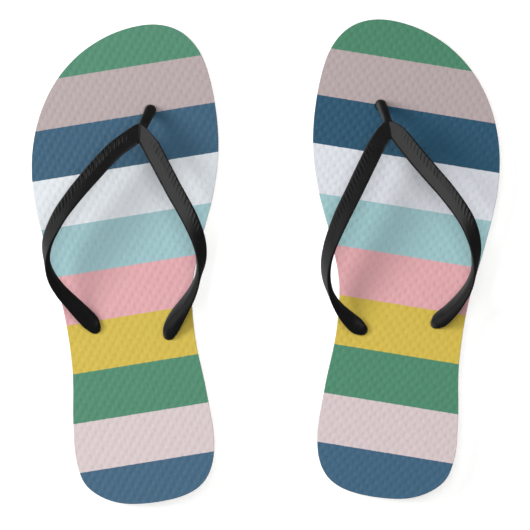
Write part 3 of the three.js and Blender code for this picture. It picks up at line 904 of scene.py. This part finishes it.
def arm(path, ridge, shoulder):
    """Swept arm, trimmed where it meets the other arm and to the yoke's outline."""
    bm = sweep(path)
    normal = left_normal(*np.array(ridge))
    if np.sign(normal[0]) != path["outward"]:
        normal = -normal
    # the arms overlap slightly, so that they fuse
    slice_off(bm, ridge[0] - normal * 0.02, normal, "clear_inner")
    bmesh.ops.recalc_face_normals(bm, faces=bm.faces)
    chain = np.array(shoulder)
    for a, b in zip(chain, chain[1:]):
        slice_off(bm, a, left_normal(a, b), "clear_outer")
    bmesh.ops.recalc_face_normals(bm, faces=bm.faces)
    return bm


def plug(hole):
    """Flat round plug with a shallow hollow under it and a short fillet up to the stem."""
    radius, low, high = 8.0, 0.4, 3.3
    profile = [       # (radius, z)
        (0.001, low + 0.35), (2.2, low + 0.3), (2.6, low), (radius - 1.0, low),
        (radius - 0.3, low + 0.25), (radius, low + 0.9), (radius, high - 1.1),
        (radius - 0.35, high - 0.35), (radius - 1.2, high), (3.4, high), (2.9, high + 0.35),
        (0.001, high + 0.35)]
    return skin_rings([[(x, y, z) for x, y in circle(hole, r, 64)] for r, z in profile])


def fuse(name, parts):
    """Join the parts into one soft skin: its vertices, vertex normals and faces."""
    joined = bmesh.new()
    carrier = bpy.data.meshes.new("tmp")
    for bm in parts:
        bm.to_mesh(carrier)
        joined.from_mesh(carrier)
        bm.free()
    mesh = bpy.data.meshes.new(name)
    joined.to_mesh(mesh)
    joined.free()
    bpy.data.meshes.remove(carrier)
    raw = link_object(name, mesh)
    remesh = raw.modifiers.new("fuse", "REMESH")
    remesh.mode = "VOXEL"
    remesh.voxel_size = 0.372
    smooth = raw.modifiers.new("soften", "SMOOTH")
    smooth.factor = 0.5
    smooth.iterations = 5
    depsgraph = bpy.context.evaluated_depsgraph_get()
    fused = bpy.data.meshes.new_from_object(raw.evaluated_get(depsgraph))
    places, normals = (np.zeros(len(fused.vertices) * 3) for _ in range(2))
    fused.vertices.foreach_get("co", places)
    fused.vertices.foreach_get("normal", normals)
    faces = [tuple(polygon.vertices) for polygon in fused.polygons]
    bpy.data.objects.remove(raw)
    return places.reshape(-1, 3), normals.reshape(-1, 3), faces


# ------------------------------------------------------------------ strap ribs

ARM_OUTWARD = {"outer": -1.0, "inner": 1.0}
ARM_SEED = {"outer": 1, "inner": 2}
RIB_RUN = {"outer": (10.0, 82.0), "inner": (16.0, 84.0)}    # first and last along the arm
RIB_PITCH = 2.82
RIB_RISE = 0.34
BAND_SINK = 0.12                  # how far the whole ribbed band is sunk

# How crisp the ribs are at these distances along an arm, from the yoke to the bend.
CRISP_AT = (26.0, 42.0, 58.0)
RIB_CRISP = {
    "left": {"outer": (1.00, 1.75, 1.20), "inner": (0.60, 0.60, 0.37)},
    "right": {"outer": (0.40, 0.74, 0.60), "inner": (0.36, 0.70, 0.63)},
}


def arm_ribs(points, path, i, side, name):
    """Rib height, ribbed band and groove depth at points near the path's stations i.

    Slanted, slightly uneven ribs lie on the outer half of the arm's face.
    """
    offset = points - path["centre"][i]
    x = (offset * path["across"][i]).sum(1) * path["outward"]
    y = (offset * path["face"][i]).sum(1)
    s = path["run"][i] + (offset * path["tangent"][i]).sum(1)
    half = path["width"][i] / 2
    first, last = RIB_RUN[name]
    band = smoothstep(-0.5, 0.6, x) * (1 - smoothstep(half - 1.35, half - 0.85, x))
    along = smoothstep(first, first + 6.0, s) * (1 - smoothstep(last - 14.0, last, s))
    on_face = smoothstep(0.30, 0.75, y / (path["thick"][i] / 2))
    mask = band * along * on_face * np.interp(s, CRISP_AT, RIB_CRISP[side][name])
    lean = s + 0.98 * x - 0.05 * x * x
    lean = lean + 0.20 * np.sin(lean * 0.71) + 0.12 * np.sin(lean * 1.67 + 1.1)
    strength = 0.72 + 0.5 * hash01(np.floor(lean / RIB_PITCH), ARM_SEED[name], 5.0)
    swell = 0.65 + 0.35 * np.sin(np.clip((x + 0.4) / (half - 0.6), 0, 1) * math.pi)
    wave = 0.5 + 0.5 * np.sin(lean / RIB_PITCH * 2 * math.pi)
    return mask * strength * swell * wave ** 1.6, mask, mask * swell * (1 - wave) ** 1.5


def nearest_stations(points, paths):
    """For each point, the number of the nearest path and of the station on it."""
    centres = np.vstack([path["centre"] for path in paths])
    tree = kdtree.KDTree(len(centres))
    for i, centre in enumerate(centres):
        tree.insert(tuple(centre), i)
    tree.balance()
    owner = np.array([(a, i) for a, path in enumerate(paths)
                      for i in range(len(path["centre"]))])
    near = np.array([tree.find(tuple(point))[1] for point in points])
    return owner[near].T


def build_strap(side, material):
    """One moulding: toe post, two ribbed arms and a plug under each hole."""
    lie = STRAPS[side]
    heading = np.array(lie["ridge"][1]) - np.array(lie["ridge"][0])
    post = strap_path(lie["post"], 1.0, heading)
    arms = {name: strap_path(lie[name], outward) for name, outward in ARM_OUTWARD.items()}
    parts = [sweep(post)]
    parts += [arm(path, lie["ridge"], lie["shoulder"]) for path in arms.values()]
    parts += [plug(hole) for hole in HOLES]
    verts, normals, faces = fuse(f"{side}_strap_raw", parts)
    owner, station = nearest_stations(verts, [post, *arms.values()])
    rib, band, groove = np.zeros((3, len(verts)))
    for number, (name, path) in enumerate(arms.items(), start=1):
        own = owner == number
        rib[own], band[own], groove[own] = arm_ribs(verts[own], path, station[own], side, name)
    verts = verts + normals * (rib * RIB_RISE - band * BAND_SINK)[:, None]
    ob = new_mesh(f"{side}_strap_moulding", side, verts, faces, {"groove": groove}, verts)
    ob.data.materials.append(material)
    bend_between(ob, side, STRAP_BEND)
    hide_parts(f"{side}_strap")


# ------------------------------------------------------------ floor and backdrop


def build_floor():
    bm = bmesh.new()
    bmesh.ops.create_circle(bm, cap_ends=True, segments=96, radius=8.0)
    mesh = bpy.data.meshes.new("floor")
    bm.to_mesh(mesh)
    bm.free()
    floor = link_object("floor", mesh)
    floor.location = (0.0, 0.0, -0.0002)
    floor.visible_glossy = False
    mesh.materials.append(floor_material())


# Soft boxes seen in reflections, in degrees: azimuth, angle from straight up, radius of
# full brightness, radius where it is gone; then the brightness.
SOFT_BOXES = [
    (178.0, 106.0, 36.0, 70.0, 0.46),
    (44.0, 54.0, 20.0, 34.0, 1.42),
]
GLOSS_BASE = 0.05                 # brightness of reflections away from the boxes


def soft_box_glow(g):
    direction = g.add("ShaderNodeTexCoord").outputs["Generated"]
    glow = GLOSS_BASE
    for azimuth, off_zenith, full, gone, brightness in SOFT_BOXES:
        azimuth, off_zenith = math.radians(azimuth), math.radians(off_zenith)
        centre = (math.sin(off_zenith) * math.cos(azimuth),
                  math.sin(off_zenith) * math.sin(azimuth), math.cos(off_zenith))
        closeness = g.vector_math("DOT_PRODUCT", direction, centre, output="Value")
        box = g.span(g.math("ARCCOSINE", closeness), start=math.radians(full),
                     end=math.radians(gone), low=brightness, high=0.0,
                     interpolation_type="SMOOTHSTEP")
        glow = g.total(box, glow)
    return glow


def build_world():
    """Separate backdrops for the camera, for reflections and for all other light."""
    world = bpy.data.worlds.new("studio")
    bpy.context.scene.world = world
    world.use_nodes = True
    world.cycles.sampling_method = "NONE"
    g = Graph(world.node_tree)

    def background(grey, strength):
        node = g.add("ShaderNodeBackground")
        return g.fill(node, {0: (grey, grey, grey, 1.0), 1: strength}).outputs[0]

    def choose(ray, other, chosen):
        node = g.add("ShaderNodeMixShader")
        return g.fill(node, {0: rays.outputs[ray], 1: other, 2: chosen}).outputs[0]

    output = g.add("ShaderNodeOutputWorld")
    rays = g.add("ShaderNodeLightPath")
    ambient = background(grey=1.0, strength=0.22)
    backdrop = background(grey=0.97, strength=1.0)
    reflected = background(grey=1.0, strength=soft_box_glow(g))
    unseen = choose("Is Glossy Ray", ambient, reflected)
    g.put(output.inputs["Surface"], choose("Is Camera Ray", unseen, backdrop))


# --------------------------------------------------------------- lights, camera


def light_watts(share, distance, elevation):
    """Watts of a round area light that adds this share to a level white surface below it."""
    return share * math.pi * distance ** 2 / math.sin(elevation) * math.pi


def round_light(name, place, size, watts, glossy=False, diffuse=True):
    """Disk light aimed at the world's origin, unseen by the camera."""
    light = bpy.data.lights.new(name, "AREA")
    light.shape = "DISK"
    light.size = size
    light.energy = watts
    ob = link_object(name, light)
    ob.location = place
    ob.rotation_mode = "QUATERNION"
    ob.rotation_quaternion = (-Vector(place)).to_track_quat("-Z", "Y")
    ob.visible_camera = False
    ob.visible_glossy = glossy
    ob.visible_diffuse = diffuse
    return ob


def build_lights(footbeds):
    azimuth, elevation = math.radians(166.0), math.radians(49.0)
    distance = 1.5
    direction = Vector((math.cos(elevation) * math.cos(azimuth),
                        math.cos(elevation) * math.sin(azimuth), math.sin(elevation)))
    key = {"place": direction * distance, "size": 0.69,
           "watts": light_watts(share=0.38, distance=distance, elevation=elevation)}
    round_light("key", **key)
    fill_height = 3.2
    round_light("top_fill", place=(0.0, 0.25, fill_height), size=1.6, watts=light_watts(
        share=0.40, distance=fill_height, elevation=math.radians(88.0)))
    # The key's sheen falls on the printed footbeds only.
    sheen = round_light("key_sheen", **key, glossy=True, diffuse=False)
    receivers = bpy.data.collections.new("lit_by_the_sheen")
    for ob in footbeds:
        receivers.objects.link(ob)
    sheen.light_linking.receiver_collection = receivers


def build_camera():
    """Camera looking straight down, with its top towards +y."""
    aim_x, aim_y = -0.00038, -0.00183
    plane_z = 0.016               # height the framing is measured at
    distance = 8.0                # from that plane
    half_frame = 0.145573245      # from the frame's centre to its edge, in that plane
    camera = bpy.data.cameras.new("camera")
    camera.sensor_width = 36.0
    camera.lens = camera.sensor_width / 2 * distance / half_frame
    camera.clip_start, camera.clip_end = 0.05, 50.0
    ob = link_object("camera", camera)
    ob.location = (aim_x, aim_y, distance + plane_z)
    bpy.context.scene.camera = ob


footbeds = build_soles()
strap_black = strap_material()
for side in MIRROR:
    build_strap(side, strap_black)
build_floor()
build_world()
build_lights(footbeds)
build_camera()

view = bpy.context.scene.view_settings
view.view_transform = "Standard"
view.look = "None"
view.exposure = 0.0
view.gamma = 1.0
